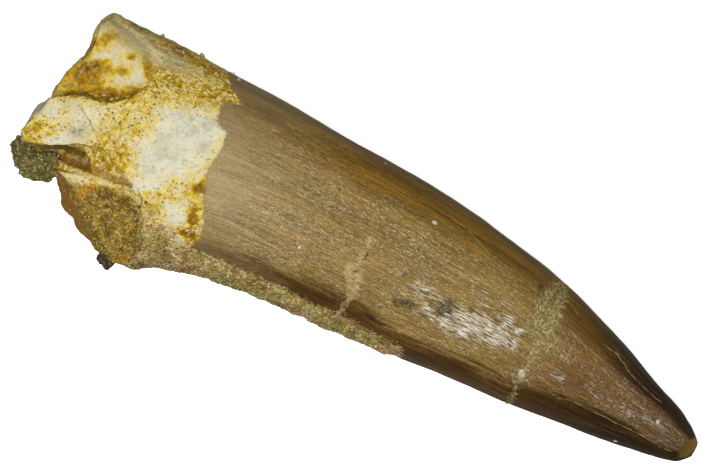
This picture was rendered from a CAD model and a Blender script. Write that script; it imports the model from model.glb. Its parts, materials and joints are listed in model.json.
"""A fossil plesiosaur tooth and the rock that clings to it, seen from above on a pale floor.

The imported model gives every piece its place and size. The tooth and the three pieces of rock are
remodelled here from copies of those solids, with the fine relief, the broken surfaces, the sand
grains and the colours of the real thing. Tables and sizes are in millimetres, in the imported
model's frame, unless a property says otherwise, and MM turns them into metres.
"""

import json
import math

import bpy
import numpy as np
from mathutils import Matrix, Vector, noise

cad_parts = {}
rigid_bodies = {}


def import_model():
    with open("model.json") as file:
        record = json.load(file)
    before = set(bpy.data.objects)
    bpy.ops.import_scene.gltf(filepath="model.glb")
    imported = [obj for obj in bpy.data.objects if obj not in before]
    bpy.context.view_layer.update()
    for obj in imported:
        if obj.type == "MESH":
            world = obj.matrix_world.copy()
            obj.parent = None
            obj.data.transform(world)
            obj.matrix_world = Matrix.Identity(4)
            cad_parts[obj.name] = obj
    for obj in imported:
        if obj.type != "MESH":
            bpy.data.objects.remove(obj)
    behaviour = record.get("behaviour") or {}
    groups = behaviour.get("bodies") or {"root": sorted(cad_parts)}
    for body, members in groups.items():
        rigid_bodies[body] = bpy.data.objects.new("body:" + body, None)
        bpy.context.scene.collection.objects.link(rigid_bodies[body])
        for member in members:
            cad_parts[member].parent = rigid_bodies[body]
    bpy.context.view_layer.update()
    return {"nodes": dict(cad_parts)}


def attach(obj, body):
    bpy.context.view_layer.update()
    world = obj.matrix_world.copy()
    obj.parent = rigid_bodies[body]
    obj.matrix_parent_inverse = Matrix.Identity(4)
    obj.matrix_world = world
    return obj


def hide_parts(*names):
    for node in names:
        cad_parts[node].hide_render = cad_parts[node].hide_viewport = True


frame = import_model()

bl_info = {
    "name": "Fossil plesiosaur tooth",
    "version": (1, 0, 0),
    "blender": (4, 5, 0),
    "location": "View3D > Sidebar > Fossil",
    "description": "Dresses a fossil tooth: enamel, broken root, sandy rock and loose grains",
    "category": "Object",
}

MM = 0.001
WELD = 0.001
SEED = 41

# The camera looks straight down: what its frame shows and how it is turned.
VIEW_CENTRE = (-1.657, 1.616)
VIEW_WIDTH = 45.2
VIEW_LEVEL = 5.0
VIEW_TURN = 27.0
SENSOR = 36.0

# Where the enamel ends over the root, seen from above.
ENAMEL_EDGE = [
    (-13.6, 9.5), (-13.5, 7.3), (-12.9, 6.5), (-11.7, 5.8), (-12.9, 5.4), (-12.8, 4.4), (-12.4, 3.9),
    (-11.8, 3.8), (-11.7, 2.9), (-11.7, 2.0), (-11.8, 1.2), (-11.6, 0.5), (-11.3, -0.4), (-10.9, -1.2),
    (-10.5, -2.0), (-10.3, -2.9), (-10.8, -4.2), (-12.0, -4.9), (-13.0, -6.0), (-13.2, -9.0),
]
ROOT_OUTLINE = [(-30.0, 9.5), *ENAMEL_EDGE, (-30.0, -9.0)]

# Broken and worn areas, seen from above.
SCOOP = [
    (-23.4, 0.3), (-22.6, 0.8), (-21.8, 1.3), (-21.0, 1.9), (-20.0, 2.2), (-19.0, 2.5), (-18.2, 3.3),
    (-17.6, 4.1), (-17.3, 5.0), (-17.6, 6.1), (-19.0, 6.8), (-21.9, 7.4), (-23.4, 6.0),
]
SANDY_PLATE = [
    (-21.2, -4.4), (-20.0, -3.9), (-19.2, -3.7), (-18.4, -3.3), (-17.5, -2.9), (-14.9, -2.6),
    (-14.7, -3.2), (-14.0, -3.8), (-13.4, -4.8), (-13.1, -6.2), (-14.0, -7.5), (-16.9, -7.0),
    (-19.4, -5.6),
]
RECESS = [
    (-22.9, -2.6), (-21.4, -2.25), (-20.5, -1.8), (-19.6, -1.2), (-18.9, -1.6), (-18.3, -2.4),
    (-19.4, -2.6), (-20.6, -2.7), (-21.8, -3.9), (-23.4, -3.6),
]
OBLIQUE_BAND = [
    (-20.4, -3.1), (-19.6, -3.6), (-18.9, -4.3), (-18.0, -5.0), (-16.9, -5.8), (-16.2, -6.4),
    (-15.6, -7.4), (-18.5, -7.6), (-22.5, -4.8),
]

# The two places where the crown was broken and is held by a pale filling.
FILLINGS = [
    [(-0.75, 2.2), (-0.45, 1.9), (-0.38, 1.2), (-0.35, 0.4), (-0.15, -0.3), (0.1, -1.0), (0.12, -1.7),
     (-0.05, -2.4), (-0.3, -3.6), (-0.45, -3.6), (-0.35, -2.4), (-0.35, -1.6), (-0.75, -1.1),
     (-1.3, -0.6), (-1.25, -0.1), (-0.8, 0.2), (-0.62, 1.1), (-0.8, 1.7)],
    [(12.2, 5.6), (12.3, 4.2), (12.4, 3.0), (12.5, 2.2), (12.9, 1.5), (13.4, 1.0), (14.3, 0.85),
     (14.2, 0.6), (13.2, 0.6), (12.3, 0.5), (12.05, -0.3), (12.2, -1.0), (12.2, -1.7), (12.0, -2.1),
     (12.1, -3.0), (12.0, -4.6), (11.85, -4.6), (11.9, -3.0), (11.8, -2.2), (11.7, -1.8), (11.9, -1.0),
     (11.7, 0.2), (11.3, 0.9), (10.8, 1.7), (10.6, 2.6), (10.6, 3.4), (10.9, 4.4), (11.5, 5.9)],
]

# Hairline cracks in the enamel, filled with pale sediment, and open cracks in the root.
HAIRLINES = [
    [(12.4, 4.1), (13.3, 3.7)],
    [(15.7, 2.7), (16.8, 2.5), (17.6, 2.1), (18.5, 1.6), (19.6, 1.3), (20.6, 1.1)],
    [(13.6, 2.4), (14.1, 2.2), (14.6, 2.1), (14.8, 1.8)],
    [(15.5, 1.6), (15.9, 1.4), (16.8, 1.1), (17.7, 0.8), (18.4, 0.7)],
    [(14.6, -1.7), (15.4, -1.4), (16.5, -1.4), (18.0, -1.4), (19.6, -1.4), (20.7, -1.4), (21.8, -1.5),
     (22.6, -1.5)],
    [(19.0, 0.3), (19.9, 0.1), (20.5, 0.0), (21.0, 0.1), (22.0, 0.0), (22.7, -0.2)],
    [(-10.9, -1.4), (-10.1, -1.3), (-8.7, -1.2), (-7.6, -1.2), (-6.4, -1.2), (-5.2, -1.3)],
    [(2.6, -2.7), (3.4, -2.5), (5.0, -2.1), (6.3, -1.8), (7.3, -1.6), (8.2, -1.6), (9.9, -1.2)],
    [(-11.0, 5.1), (-10.3, 5.0)],
    [(-10.1, 5.2), (-9.0, 5.3)],
    [(-8.6, 6.0), (-8.1, 5.9)],
    [(3.2, 5.6), (4.4, 5.3), (5.6, 4.9), (6.6, 4.5)],
]
OPEN_CRACKS = [
    [(-20.7, 1.0), (-20.2, 0.7), (-19.8, 0.5), (-19.4, 0.1), (-19.0, -0.2)],
    [(-15.1, -2.0), (-14.7, -2.6), (-14.6, -3.1), (-14.1, -3.6), (-13.8, -4.1), (-13.4, -4.6),
     (-13.4, -5.3), (-13.2, -6.0)],
    [(-19.5, -2.4), (-18.8, -2.5), (-18.1, -2.4), (-17.6, -2.3), (-16.8, -2.3), (-16.1, -2.1),
     (-15.2, -1.9)],
    [(-23.1, -2.6), (-22.3, -2.5), (-21.5, -2.2), (-20.6, -1.7), (-19.8, -1.2)],
]

# The crust's high edge on the crown, where rock dust still clings to the enamel.
CRUST_EDGE = [
    (-12.9, -4.9), (-10.7, -4.4), (-8.6, -4.0), (-6.8, -3.9), (-4.8, -3.8), (-2.7, -3.8), (-0.6, -3.7),
    (1.9, -3.7), (4.1, -3.8),
]

# Patches of colour on the root: x, y, half length, half width, turn in degrees, and how rich the
# stain is there, from 0, bluish white, over cream, yellow and ochre to 1, brown.
ROOT_STAINS = [
    (-14.0, 2.7, 1.9, 1.9, 27, 0.05),
    (-15.0, 0.3, 2.1, 1.3, 27, 0.07),
    (-14.8, -1.4, 1.0, 0.7, 27, 0.16),
    (-15.1, 3.7, 1.2, 0.7, 0, 0.10),
    (-12.1, 3.9, 0.5, 0.4, 27, 0.20),
    (-18.4, 1.1, 1.1, 2.0, 27, 0.46),
    (-19.5, 1.0, 0.5, 1.0, -63, 0.34),
    (-15.2, 5.1, 2.9, 0.9, 13, 0.60),
    (-16.8, 5.0, 1.3, 0.6, 16, 0.66),
    (-13.3, 5.7, 1.4, 0.5, 3, 0.60),
    (-15.8, 4.2, 1.0, 0.5, 16, 0.44),
    (-22.7, -0.2, 1.5, 0.7, 38, 0.12),
    (-20.6, 0.6, 1.0, 0.9, 27, 0.2),
    (-21.6, 0.5, 0.4, 0.35, 27, 0.42),
    (-22.5, -1.4, 1.0, 0.8, 27, 0.58),
    (-21.2, -1.6, 0.8, 0.3, 27, 0.16),
    (-20.1, -0.7, 0.8, 0.5, 27, 0.14),
    (-21.0, 4.4, 2.4, 1.8, 10, 0.52),
    (-21.3, 3.2, 1.4, 1.0, 16, 0.84),
    (-21.3, 5.9, 0.5, 0.4, 27, 0.70),
    (-22.1, 5.2, 0.35, 0.5, -63, 0.74),
    (-22.0, 6.1, 0.5, 0.35, 27, 0.30),
    (-19.9, 5.3, 0.9, 0.6, -4, 0.26),
    (-19.4, 3.7, 0.9, 0.4, 16, 0.28),
    (-18.4, 4.4, 0.4, 0.9, 27, 0.24),
    (-21.0, 4.7, 0.9, 0.18, 41, 0.22),
    (-20.3, 4.7, 0.7, 0.15, -32, 0.22),
    (-19.4, 5.4, 0.28, 0.24, 27, 0.82),
    (-19.6, 4.3, 0.35, 0.24, 0, 0.72),
    (-21.5, 1.7, 1.0, 0.3, 33, 0.84),
    (-19.8, 2.5, 1.1, 0.4, 16, 0.86),
    (-18.5, 3.3, 0.7, 0.4, 44, 0.80),
    (-18.2, 5.3, 0.28, 1.0, 27, 0.70),
    (-19.9, 7.2, 0.4, 0.18, 0, 0.88),
    (-17.0, 7.0, 0.8, 0.35, 0, 0.84),
    (-15.1, 6.9, 0.9, 0.25, 0, 0.78),
    (-12.9, 6.8, 0.9, 0.25, 0, 0.70),
    (-17.6, -1.0, 1.4, 0.9, 21, 0.62),
    (-18.0, -1.7, 0.6, 0.4, 27, 0.70),
    (-20.4, -3.1, 0.8, 0.3, 0, 0.66),
    (-18.8, -3.0, 1.2, 0.25, 16, 0.28),
    (-12.3, -2.1, 1.1, 0.9, 27, 0.14),
    (-11.2, -2.2, 0.32, 1.1, 21, 0.88),
    (-11.1, -3.0, 0.7, 0.3, 10, 0.82),
    (-11.7, -0.2, 0.45, 0.4, 27, 0.95),
    (-13.3, -1.5, 1.5, 0.35, 27, 0.50),
    (-11.8, -3.7, 1.1, 0.2, -12, 0.24),
    (-13.9, -3.1, 0.8, 1.1, 27, 0.46),
]
# Rusty patches and rock dust on the tooth's low side: the same columns, and how strong.
RUST_SPOTS = [
    (-18.1, -3.3, 0.5, 0.34, 27, 1.0),
    (-18.5, -4.2, 0.3, 0.34, 27, 0.9),
    (-18.3, -3.7, 0.5, 0.3, 82, 0.7),
    (-17.8, -2.6, 0.7, 0.2, 10, 0.5),
    (-13.6, -6.3, 1.4, 0.45, 18, 0.85),
    (-16.4, -4.9, 0.9, 0.4, 40, 0.5),
    (-17.6, -1.4, 1.0, 0.5, 27, 0.5),
    (-10.9, -2.5, 0.3, 0.8, 27, 0.5),
]
DUST_SPOTS = [
    (-12.9, -4.1, 1.6, 1.0, 20, 0.85),
    (-13.9, -2.9, 0.9, 0.7, 20, 0.66),
    (-17.0, -2.1, 1.2, 0.3, 5, 0.6),
]
# Dark pits and undercut edges there: the same columns, and how dark.
PITS = [
    (-21.0, -2.0, 1.1, 0.13, 24, 1.0),
    (-19.6, -1.6, 0.5, 0.16, 21, 0.9),
    (-20.3, -1.9, 0.3, 0.22, 27, 0.8),
    (-14.4, -2.5, 0.13, 0.13, 27, 1.0),
    (-14.7, -3.0, 0.11, 0.16, 27, 1.0),
    (-18.6, -3.1, 0.14, 0.08, 10, 1.0),
    (-21.9, -3.0, 0.5, 0.25, 0, 0.7),
    (-20.3, -0.4, 0.9, 0.5, 27, 0.5),
    (-21.3, 0.9, 0.6, 0.35, 27, 0.34),
    (-14.9, 1.3, 0.12, 0.05, 27, 0.8),
    (-14.1, 1.7, 0.14, 0.06, 27, 0.9),
    (-12.2, 2.7, 0.2, 0.05, 27, 0.8),
    (-13.9, 3.9, 0.3, 0.12, -18, 0.5),
    (-11.8, 0.0, 0.2, 0.25, 27, 0.6),
]
# Greyish patches there: the same columns, and how grey.
ROOT_GREYS = [
    (-19.7, 6.6, 2.4, 0.6, -10, 1.0),
    (-17.2, 6.3, 2.0, 0.6, -2, 1.0),
    (-20.3, -0.4, 1.0, 0.6, 27, 1.0),
    (-23.1, -0.2, 0.7, 0.45, 44, 0.5),
    (-21.3, 0.9, 0.7, 0.45, 27, 0.8),
    (-22.8, 3.5, 0.16, 2.2, -11, 0.75),
    (-21.9, 6.9, 0.9, 0.3, 58, 0.7),
    (-19.1, -2.0, 0.5, 0.3, 0, 0.75),
    (-14.8, 1.1, 0.9, 0.5, 27, 0.3),
    (-15.8, 0.0, 0.5, 0.4, 27, 0.4),
    (-12.7, 2.2, 0.4, 0.9, 27, 0.3),
]
# The smooth broken edge between the plate above and the sandy plate.
LEDGE = [(-22.2, -2.75), (-20.2, -2.5), (-18.7, -2.25), (-17.3, -2.1), (-15.8, -1.95)]
# Pale flaking enamel that catches the light: the same columns, and how worn.
WORN_PATCHES = [
    (6.6, -0.3, 3.6, 1.1, 2, 0.95),
    (8.6, 0.3, 2.6, 1.1, 0, 0.85),
    (8.4, 1.9, 2.8, 1.0, -4, 0.5),
    (4.2, 0.5, 2.2, 0.9, -6, 0.65),
    (9.6, 1.2, 0.4, 0.3, 0, 1.0),
    (10.5, 1.0, 0.4, 0.3, 0, 1.0),
    (10.4, 0.1, 0.4, 0.3, 0, 1.0),
    (-2.5, 3.2, 3.6, 1.4, 0, 0.38),
    (1.0, 3.8, 2.4, 1.2, 0, 0.34),
    (14.0, -0.5, 0.8, 0.5, 0, 0.75),
    (16.6, -0.3, 1.2, 0.45, -6, 0.55),
    (18.8, -0.4, 1.5, 0.4, -4, 0.6),
    (20.8, -0.35, 1.1, 0.35, -4, 0.7),
    (15.2, 0.6, 0.7, 0.3, 0, 0.55),
]
# Small pale spots on the crown: the same columns, and how strong.
PALE_SPOTS = [
    (-4.4, -0.6, 0.14, 0.12, 0, 1.0),
    (2.5, 4.7, 0.2, 0.13, 0, 1.0),
    (19.2, -2.5, 0.12, 0.08, 0, 1.0),
    (11.85, -1.35, 0.3, 0.4, 20, 0.7),
    (21.0, -0.15, 0.16, 0.12, 0, 1.0),
    (-1.9, 6.6, 0.08, 0.06, 0, 0.8),
]
# Black-grey stains on the crown and beside its fillings: the same columns.
DARK_STAINS = [
    (3.4, -0.7, 0.5, 0.3, 0, 0.9),
    (2.7, -0.9, 0.35, 0.35, 0, 0.75),
    (5.6, 0.3, 0.6, 0.5, -20, 0.85),
    (5.4, -0.2, 0.3, 0.45, 0, 0.75),
    (2.3, 0.9, 0.12, 0.2, 0, 0.9),
    (1.0, -0.2, 0.14, 0.12, 0, 0.8),
    (-0.5, -0.32, 0.3, 0.09, 27, 0.9),
    (-3.8, 3.8, 0.12, 0.07, 0, 1.0),
    (10.4, 4.1, 0.25, 0.2, 0, 0.6),
    (-0.42, -2.3, 0.45, 0.08, 58, 1.0),
    (-0.36, 0.9, 1.1, 0.05, 84, 0.9),
]
# The worn facet at the tip: the same columns.
TIP_FACET = (23.6, -0.75, 0.85, 0.36, 72, 1.0)

# The areas and spots above, by the names under which the tooth's points keep them.
AREAS = {
    "root_side": ROOT_OUTLINE,
    "scoop_side": SCOOP,
    "sandy_side": SANDY_PLATE,
    "recess_side": RECESS,
    "band_side": OBLIQUE_BAND,
}
SPOTS = {
    "worn": WORN_PATCHES,
    "pit": PITS,
    "grey": ROOT_GREYS,
    "pale": PALE_SPOTS,
    "rust": RUST_SPOTS,
    "stain": DARK_STAINS,
}

OUTSIDE = -1.0  # the depth that a place has where an area doesn't reach it
BAND_LOW = -0.75  # how far down the flank the oblique band goes, as a share of PATH_RADIUS
UNSTAINED = 0.48  # how rich the root's colour is where no patch gives another one
STAIN_SPREAD = 1.2  # how much larger the patches on the root are than their table says

# Where the tooth's outline is drawn out a little: x, y, reach, and the move in x and y.
NUDGES = [
    (23.6, -0.8, 1.8, 0.15, -0.11),
    (-23.05, 2.3, 1.3, -0.26, 0.1),
    (-23.1, -2.2, 0.75, -0.4, -0.32),
    (-18.3, -5.3, 1.7, -0.08, -0.14),
    (-22.1, -3.0, 0.9, -0.4, -0.2),
]

# The direction in plan in which the nodule is drawn out, along the broken end of the root.
STRETCH_AXIS = np.array((-0.454, 0.891, 0.0))

# How much of the flake's length and width shows.
FLAKE_SHARE = np.array((0.74, 0.88, 1.0))

# Crumbs of rock on the tooth's upper edge: x and radius.
EDGE_CRUMBS = [(-18.3, 0.16), (-16.1, 0.14), (-15.5, 0.2), (-13.2, 0.14), (-12.7, 0.13), (-2.0, 0.08)]

# The tones of each kind of sand grain, dark to light, as screen values.
GRAIN_TONES = {
    "crust_grain": [
        (0.0, (66, 58, 38)), (0.22, (116, 104, 64)), (0.45, (152, 138, 90)), (0.65, (170, 154, 130)),
        (0.82, (172, 140, 66)), (1.0, (220, 212, 186)),
    ],
    "nodule_grain": [
        (0.0, (48, 44, 24)), (0.4, (98, 90, 48)), (0.7, (134, 124, 74)), (1.0, (192, 184, 142)),
    ],
    "plate_grain": [
        (0.0, (84, 64, 24)), (0.3, (116, 90, 32)), (0.6, (146, 116, 42)), (0.88, (176, 150, 80)),
        (1.0, (208, 190, 136)),
    ],
    "root_grain": [
        (0.0, (120, 88, 26)), (0.35, (186, 148, 44)), (0.7, (214, 182, 84)), (1.0, (222, 204, 140)),
    ],
    "filling_grain": [
        (0.0, (98, 82, 38)), (0.4, (132, 114, 62)), (0.75, (158, 142, 88)), (1.0, (190, 178, 128)),
    ],
}
GRAIN_JITTER = 0.06  # how far a grain may lie from the middle of the face that carries it

# The stations at which the tooth's sections are measured, and the growth path's own radius, which is
# about the tooth's half width.
SECTION_FROM = -17.0
SECTION_TO = 23.6
SECTION_STEP = 1.0
PATH_RADIUS = 5.0

# The stretch along the tooth over which the crown's colour changes.
CROWN_FROM = -13.0
CROWN_TO = 24.0

# The tooth's even mesh, how often it is smoothed, how much of that the root takes, and where along the
# tooth the smooth crown starts and its worn end begins.
TOOTH_VOXEL = 0.155
SMOOTHING_PASSES = 34
ROOT_SMOOTHING = 0.06
CROWN_START = (-13.2, -11.4)
WORN_END = (22.6, 23.4)

# How wide the lines on the tooth are in its relief.
LEDGE_WIDTH = 0.26
CRACK_WIDTH = 0.11
HAIRLINE_WIDTH = 0.1
DUST_WIDTH = 0.6

# The floor, and the soft lights with their widths and places, in metres.
FLOOR_SIZE = 4.0
FLOOR_LEVEL = -0.02 * MM
LIGHTS = {"key": (0.17, (-0.03, -0.13, 0.62)), "side": (0.3, (0.25, 0.35, 0.55))}


def paint(red, green, blue):
    """A colour given by its screen values from 0 to 255, as linear light."""
    return tuple((value / 255.0) ** 2.2 for value in (red, green, blue))


def solid(colour):
    """A property's colour with full opacity."""
    return (*colour, 1.0)


def colour_property(name, description, default):
    return bpy.props.FloatVectorProperty(
        name=name, description=description, default=default, subtype="COLOR", min=0.0, max=1.0
    )


def length_property(name, description, default_mm):
    return bpy.props.FloatProperty(
        name=name, description=description, default=default_mm * MM, unit="LENGTH", precision=5
    )


def number_property(name, description, default, **limits):
    return bpy.props.FloatProperty(name=name, description=description, default=default, **limits)


class CrownLook(bpy.types.PropertyGroup):
    """The enamel's colours and gloss."""

    root_end: colour_property("Root end", "Middle of the crown beside the root", paint(141, 122, 84))
    middle: colour_property("Middle", "Middle of the crown", paint(130, 105, 54))
    far: colour_property("Far", "Middle of the crown beyond the second filling", paint(108, 78, 36))
    tip: colour_property("Tip", "Middle of the crown at the tip", paint(95, 69, 44))
    upper_band: colour_property("Upper band", "Darker band along the high edge", paint(112, 82, 24))
    lower_band: colour_property("Lower band", "Darker band along the low edge", paint(72, 48, 2))
    tip_band: colour_property("Tip bands", "Both bands near the tip", paint(38, 19, 1))
    flake: colour_property("Flakes", "Pale flaking enamel", paint(220, 213, 196))
    stain: colour_property("Stain", "Black-grey stains", paint(42, 35, 28))
    hairline: colour_property("Hairlines", "Sediment in the hairline cracks", paint(192, 168, 110))
    facet: colour_property("Facet", "Worn facet at the tip", paint(112, 84, 36))
    roughness: number_property("Roughness", "Roughness of sound enamel", 0.3, min=0.0, max=1.0)


class RootLook(bpy.types.PropertyGroup):
    """The colours of the root, its broken faces and the fillings."""

    white: colour_property("White", "Bluish white dentine", paint(214, 213, 190))
    cream: colour_property("Cream", "Cream dentine", paint(224, 210, 158))
    yellow: colour_property("Yellow", "Yellow stain", paint(220, 188, 68))
    lemon: colour_property("Lemon", "Bright yellow crumbs", paint(238, 214, 118))
    ochre: colour_property("Ochre", "Ochre stain", paint(182, 142, 18))
    orange: colour_property("Orange", "Orange-brown stain", paint(150, 108, 8))
    brown: colour_property("Brown", "Brown stain", paint(100, 70, 10))
    grey: colour_property("Grey", "Smooth greyish dentine", paint(172, 162, 134))
    speck: colour_property("Specks", "Dark specks and gaps between grains", paint(98, 74, 26))
    sand_light: colour_property("Light sand", "Light grains of the sandy plate", paint(188, 158, 80))
    sand_warm: colour_property("Warm sand", "Middling grains of the sandy plate", paint(140, 110, 36))
    sand_dark: colour_property("Dark sand", "Dark grains of the sandy plate", paint(78, 60, 20))
    side: colour_property("Side", "Smooth brown broken faces", paint(150, 108, 48))
    rust: colour_property("Rust", "Vivid orange stain", paint(220, 150, 30))
    crack: colour_property("Cracks", "Open cracks in the root", paint(62, 50, 30))
    filling_light: colour_property("Light filling", "Beige filling nearer the root", paint(184, 161, 114))
    filling_dark: colour_property("Dark filling", "Olive filling nearer the tip", paint(128, 112, 66))
    filling_pale: colour_property("Pale filling", "Pale crumbs of the olive filling", paint(204, 190, 136))


class RockLook(bpy.types.PropertyGroup):
    """The clinging rock: the size of its grains and its colours."""

    grain: length_property("Grain", "Radius of a middling sand grain", 0.075)
    crust_base: colour_property("Crust base", "Rock between the crust's grains", paint(92, 78, 48))
    crust_light: colour_property("Crust light", "Pale grains of the crust", paint(206, 190, 146))
    crust_warm: colour_property("Crust warm", "Golden grains of the crust", paint(168, 132, 60))
    nodule_base: colour_property("Nodule base", "Rock between the nodule's grains", paint(84, 76, 40))
    nodule_warm: colour_property("Nodule warm", "Middling grains of the nodule", paint(112, 102, 58))
    nodule_light: colour_property("Nodule light", "Pale grains of the nodule", paint(150, 136, 84))
    flake_base: colour_property("Flake", "Dark flake", paint(58, 48, 36))
    flake_light: colour_property("Flake light", "Paler parts of the dark flake", paint(112, 96, 68))


class StageLook(bpy.types.PropertyGroup):
    """The floor, the lights and the camera."""

    floor: colour_property("Floor", "Pale floor", (0.97, 0.97, 0.97))
    floor_bounce: colour_property("Floor bounce", "The floor as the tooth sees it", (0.28, 0.27, 0.25))
    floor_glow: number_property("Floor glow", "Brightness added to the floor", 0.72, min=0.0)
    key_power: number_property("Key power", "Power of the main soft light in watts", 2.95)
    side_power: number_property("Side power", "Power of the weaker light in watts", 0.35)
    sky: number_property("Sky", "Brightness of the white surround overhead", 0.6)
    horizon: number_property("Horizon", "Brightness of the white surround at the horizon", 0.09)
    lens: number_property("Lens", "Camera lens in millimetres", 500.0)


def select_only(*pieces):
    """Leaves just these pieces selected, the first one active."""
    bpy.ops.object.select_all(action="DESELECT")
    for piece in pieces:
        piece.select_set(True)
    bpy.context.view_layer.objects.active = pieces[0]


def copy_of_node(node, name):
    """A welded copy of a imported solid, ready to be modelled further."""
    select_only(frame["nodes"][node])
    bpy.ops.object.duplicate()
    piece = bpy.context.view_layer.objects.active
    if piece is frame["nodes"][node]:
        raise RuntimeError(f"the copy of {node} wasn't made")
    piece.name = name
    piece.data.name = name
    bpy.ops.object.parent_clear(type="CLEAR_KEEP_TRANSFORM")
    for key in list(piece.keys()):
        del piece[key]
    piece.data.materials.clear()
    bpy.ops.object.mode_set(mode="EDIT")
    bpy.ops.mesh.select_all(action="SELECT")
    bpy.ops.mesh.remove_doubles(threshold=WELD * MM)
    bpy.ops.object.mode_set(mode="OBJECT")
    return piece


def applied(piece, kind, **settings):
    """Adds a modifier with these settings and applies it."""
    select_only(piece)
    modifier = piece.modifiers.new(kind.lower(), kind)
    for setting, value in settings.items():
        setattr(modifier, setting, value)
    bpy.ops.object.modifier_apply(modifier=modifier.name)


def remeshed(piece, voxel):
    """Gives a piece an even mesh of small quads."""
    applied(piece, "REMESH", mode="VOXEL", voxel_size=voxel * MM)
    select_only(piece)
    bpy.ops.object.shade_smooth()


def read_all(items, name, width=3):
    """One property of all of a mesh's points or faces, a row for each."""
    flat = np.empty(len(items) * width)
    items.foreach_get(name, flat)
    return flat.reshape(-1, width)


def points_of(piece):
    """A piece's points in millimetres."""
    return read_all(piece.data.vertices, "co") / MM


def normals_of(piece):
    """The outward directions at a piece's points."""
    return read_all(piece.data.vertex_normals, "vector")


def face_centres(piece):
    """The middles of a piece's faces in millimetres."""
    return read_all(piece.data.polygons, "center") / MM


def face_normals(piece):
    """The outward directions of a piece's faces."""
    return read_all(piece.data.polygons, "normal")


def set_points(piece, points):
    """Moves a piece's points to places in millimetres."""
    piece.data.vertices.foreach_set("co", (points * MM).ravel())
    piece.data.update()


def set_marks(piece, **marks):
    """Stores a number or a direction for each point, for the materials to read."""
    for name, values in marks.items():
        kind = "FLOAT" if values.ndim == 1 else "FLOAT_VECTOR"
        layer = piece.data.attributes.new(name, kind, "POINT")
        layer.data.foreach_set("value" if kind == "FLOAT" else "vector", values.astype(np.float32).ravel())


def beside(gap, width):
    """1 on a line, fading to 0 over about this width beside it."""
    return np.exp(-((gap / width) ** 2))


def eased(values, low, high):
    """0 up to low, 1 from high on, and a smooth rise between."""
    share = np.clip((values - low) / (high - low), 0.0, 1.0)
    return share * share * (3.0 - 2.0 * share)


def noise_over(points, size, seed, octaves=3):
    """Smooth noise of about -1 to 1 over points, with features of about that size."""
    spots = points / np.array(size) + seed
    return np.array([noise.fractal(Vector(spot), 1.0, 2.0, octaves) for spot in spots])


def cells_over(points, size, seed):
    """For a pattern of cells: 1 in the middle of each, 0 at its edges, and each cell's own number."""
    middles = np.empty(len(points))
    numbers = np.empty(len(points))
    for index, spot in enumerate(points / np.array(size) + seed):
        gaps, seeds = noise.voronoi(Vector(spot))
        middles[index] = (gaps[1] - gaps[0]) / (gaps[1] + gaps[0])
        numbers[index] = noise.cell(seeds[0] * 7.3)
    return middles, numbers


def line_gap(points, line):
    """Each plan point's distance to a line, and the side of it that the point is on."""
    nearest = np.full(len(points), np.inf)
    side = np.ones(len(points))
    for start, end in zip(line, line[1:]):
        run = np.subtract(end, start)
        off = points - start
        share = np.clip(off @ run / (run @ run), 0.0, 1.0)
        gap = np.linalg.norm(off - share[:, None] * run, axis=1)
        closer = gap < nearest
        nearest[closer] = gap[closer]
        side[closer] = np.sign(run[0] * off[closer, 1] - run[1] * off[closer, 0])
    return nearest, side


def lines_gap(points, lines):
    """The same for the nearest of several lines."""
    nearest = np.full(len(points), np.inf)
    side = np.ones(len(points))
    for line in lines:
        gap, line_side = line_gap(points, line)
        closer = gap < nearest
        nearest[closer] = gap[closer]
        side[closer] = line_side[closer]
    return nearest, side


def depth_inside(points, outline):
    """How far each plan point lies inside an outline, below 0 outside it."""
    closed = [*outline, outline[0]]
    gap, _ = line_gap(points, closed)
    inside = np.zeros(len(points), bool)
    for (start_x, start_y), (end_x, end_y) in zip(closed, closed[1:]):
        if start_y == end_y:
            continue
        spans = (start_y > points[:, 1]) != (end_y > points[:, 1])
        crossing = start_x + (points[:, 1] - start_y) * (end_x - start_x) / (end_y - start_y)
        inside ^= spans & (points[:, 0] < crossing)
    return np.where(inside, gap, -gap)


def spot_share(points, x, y, half_length, half_width, turn):
    """1 in the middle of a turned oval spot, fading to 0 outside it."""
    cosine = math.cos(math.radians(turn))
    sine = math.sin(math.radians(turn))
    off_x = points[:, 0] - x
    off_y = points[:, 1] - y
    along = (off_x * cosine + off_y * sine) / half_length
    across = (off_y * cosine - off_x * sine) / half_width
    return np.exp(-((along * along + across * across) ** 1.5))


def spots_over(points, spots, start=0.0, spread=1.0):
    """A number at each plan point that every spot in turn pulls towards its own value."""
    level = np.full(len(points), start)
    for x, y, half_length, half_width, turn, value in spots:
        share = spot_share(points, x, y, spread * half_length, spread * half_width, turn)
        level += (value - level) * share
    return level


def tooth_sections():
    """The tooth's middle and half sizes across and in height at stations along it, from its solid."""
    points = np.array([vertex.co for vertex in frame["nodes"]["tooth"].data.vertices]) / MM
    rows = []
    for x in np.arange(SECTION_FROM, SECTION_TO, SECTION_STEP):
        near = points[np.abs(points[:, 0] - x) < SECTION_STEP * 0.6]
        low, high = near.min(axis=0), near.max(axis=0)
        middle, half = (low + high) / 2, (high - low) / 2
        rows.append((x, middle[1], middle[2], half[1], half[2]))
    return np.array(rows)


def sections_at(points):
    """The tooth's middle, y and z, and its half sizes at these points' places along it."""
    table = tooth_sections()
    return [np.interp(points[:, 0], table[:, 0], table[:, column]) for column in (1, 2, 3, 4)]


def growth_path(points):
    """Places on the tooth as its enamel grew: along it, and round it on a ring of constant radius."""
    middle_y, middle_z, half_y, half_z = sections_at(points)
    across = (points[:, 1] - middle_y) / half_y
    upward = (points[:, 2] - middle_z) / half_z
    out = np.maximum(np.hypot(across, upward), 0.05)
    return np.column_stack((points[:, 0], PATH_RADIUS * across / out, PATH_RADIUS * upward / out))


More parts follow.
